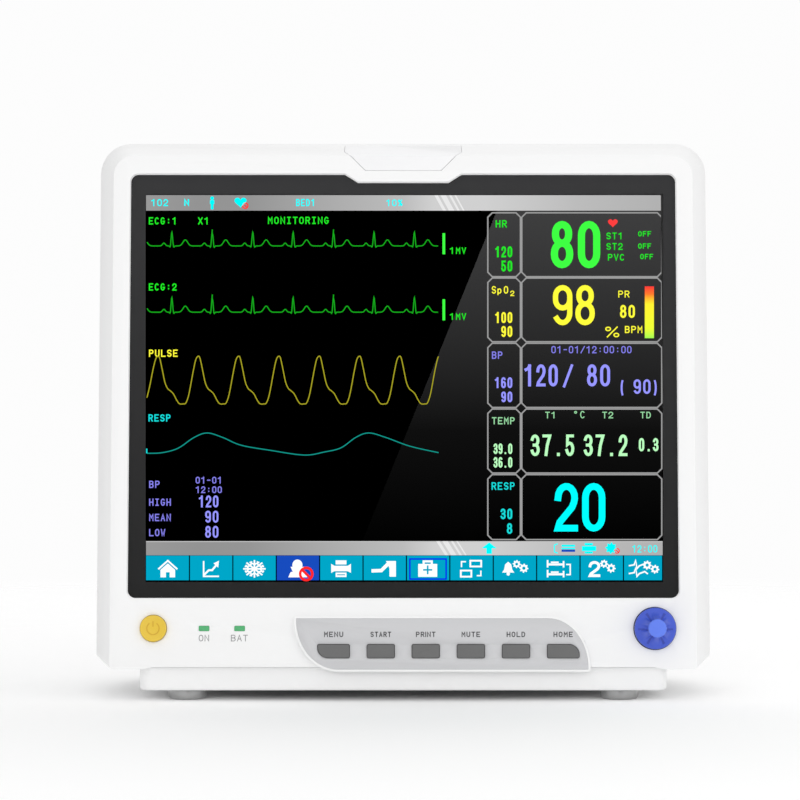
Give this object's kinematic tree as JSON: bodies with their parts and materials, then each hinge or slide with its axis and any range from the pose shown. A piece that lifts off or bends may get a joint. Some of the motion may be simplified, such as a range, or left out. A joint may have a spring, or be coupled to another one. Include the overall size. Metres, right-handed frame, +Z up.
{
  "type": "patient monitor",
  "caption": "White bedside patient monitor: leaning 15-inch display, alarm lamp, soft keys, blue turn-and-press knob, folding handle, side sockets and paper recorder.",
  "frame": {"origin": "centre of the bounding box in x and y, at the underside of the feet", "axes": "+Z up, the screen faces -Y, +X towards the knob side (the viewer's right)"},
  "size_m": [0.364, 0.1696, 0.3305],
  "materials": {
    "housing": "fine matt",
    "bezel": "fine matt",
    "base": "fine matt",
    "lens": "satin, translucent",
    "cover_glass": "gloss",
    "lcd": "gloss",
    "board": "satin",
    "panel_rim": "satin",
    "panel_grey": "satin film",
    "key": "satin",
    "silicone": "matt",
    "yellow": "satin",
    "led": "translucent",
    "blue": "satin",
    "rubber": "matt",
    "steel": "plain",
    "sheet": "plain",
    "brass": "plain",
    "black": "matt",
    "grey": "matt",
    "green_plug": "satin",
    "blue_plug": "satin",
    "paper": "matt",
    "tube": "clear"
  },
  "bodies": {
    "monitor": {"front_bezel": "bezel", "cover_glass": "cover_glass", "alarm_lamp": "lens", "alarm_board": "board", "lcd_panel": "lcd", "display_bracket": "sheet", "key_panel": "panel_rim", "key_overlay": "panel_grey", "key_mat": "silicone", "key_board": "board", "power_switch": "black", "status_lenses": "led", "encoder_body": "black", "base_tray": "base", "rubber_feet": "rubber", "base_screws": "steel", "rear_housing": "housing", "housing_screws": "steel", "handle_pins": "steel", "sensor_panel": "grey", "ecg_socket": "green_plug", "spo2_socket": "blue_plug", "nibp_port": "steel", "temp_sockets": "black", "recorder_frame": "grey", "print_head": "black", "battery_pack": "black", "connector_panel": "housing", "ac_inlet": "black", "fuse_holders": "black", "ground_stud": "steel", "network_socket": "steel", "video_socket": "blue_plug", "main_board": "board", "power_supply": "sheet", "parameter_module": "sheet", "nibp_pump": "black", "nibp_valve": "grey", "nibp_tube": "tube", "speaker": "black", "chassis": "sheet", "mount_inserts": "brass", "rating_plate": "sheet"},
    "key_menu": {"key_menu": "key"},
    "key_start": {"key_start": "key"},
    "key_print": {"key_print": "key"},
    "key_mute": {"key_mute": "key"},
    "key_hold": {"key_hold": "key"},
    "key_home": {"key_home": "key"},
    "power_button": {"power_button": "yellow"},
    "encoder_plunger": {"encoder_plunger": "steel"},
    "knob": {"knob": "blue", "knob_shaft": "steel"},
    "handle": {"handle": "grey"},
    "recorder_door": {"recorder_door": "housing"},
    "recorder_latch": {"recorder_latch": "key"},
    "platen_roller": {"platen_roller": "rubber"},
    "paper_roll": {"paper_roll": "paper"},
    "battery_door": {"battery_door": "housing"}
  },
  "joints": [
    {"name": "key_menu_press", "type": "slide", "parent": "monitor", "child": "key_menu", "axis": [0, 0.9962, -0.0872], "range_m": [0, 0.001], "stiffness_N_per_m": 500, "springref_m": -0.001},
    {"name": "key_start_press", "type": "slide", "parent": "monitor", "child": "key_start", "axis": [0, 0.9962, -0.0872], "range_m": [0, 0.001], "stiffness_N_per_m": 500, "springref_m": -0.001},
    {"name": "key_print_press", "type": "slide", "parent": "monitor", "child": "key_print", "axis": [0, 0.9962, -0.0872], "range_m": [0, 0.001], "stiffness_N_per_m": 500, "springref_m": -0.001},
    {"name": "key_mute_press", "type": "slide", "parent": "monitor", "child": "key_mute", "axis": [0, 0.9962, -0.0872], "range_m": [0, 0.001], "stiffness_N_per_m": 500, "springref_m": -0.001},
    {"name": "key_hold_press", "type": "slide", "parent": "monitor", "child": "key_hold", "axis": [0, 0.9962, -0.0872], "range_m": [0, 0.001], "stiffness_N_per_m": 500, "springref_m": -0.001},
    {"name": "key_home_press", "type": "slide", "parent": "monitor", "child": "key_home", "axis": [0, 0.9962, -0.0872], "range_m": [0, 0.001], "stiffness_N_per_m": 500, "springref_m": -0.001},
    {"name": "power_press", "type": "slide", "parent": "monitor", "child": "power_button", "axis": [0, 0.9962, -0.0872], "range_m": [0, 0.0015], "stiffness_N_per_m": 500, "springref_m": -0.001},
    {"name": "knob_press", "type": "slide", "parent": "monitor", "child": "encoder_plunger", "axis": [0, 0.9962, -0.0872], "range_m": [0, 0.001], "stiffness_N_per_m": 600, "springref_m": -0.001},
    {"name": "knob_turn", "type": "hinge", "parent": "encoder_plunger", "child": "knob", "pos_m": [0.147, -0.06748, 0.04264], "axis": [0, -0.9962, 0.0872], "continuous": true},
    {"name": "handle_lift", "type": "hinge", "parent": "monitor", "child": "handle", "pos_m": [0, 0.03485, 0.3235], "axis": [-1, 0, 0], "range_deg": [0, 90]},
    {"name": "recorder_door_open", "type": "hinge", "parent": "monitor", "child": "recorder_door", "pos_m": [0.1792, 0.01785, 0.092], "axis": [0, 1, 0], "range_deg": [0, 75]},
    {"name": "recorder_latch_press", "type": "slide", "parent": "recorder_door", "child": "recorder_latch", "axis": [-1, 0, 0], "range_m": [0, 0.0015], "stiffness_N_per_m": 300, "springref_m": -0.001},
    {"name": "paper_roll_turn", "type": "hinge", "parent": "monitor", "child": "paper_roll", "pos_m": [0.148, 0.01785, 0.118], "axis": [0, 1, 0], "continuous": true},
    {"name": "platen_turn", "type": "hinge", "parent": "recorder_door", "child": "platen_roller", "pos_m": [0.1715, 0.01785, 0.16], "axis": [0, 1, 0], "continuous": true},
    {"name": "battery_door_open", "type": "hinge", "parent": "monitor", "child": "battery_door", "pos_m": [-0.1516, 0.08345, 0.094], "axis": [0, 0, 1], "range_deg": [0, 100]}
  ],
  "couplings": [
    {"joint": "platen_turn", "follows": "paper_roll_turn", "ratio": 4}
  ]
}
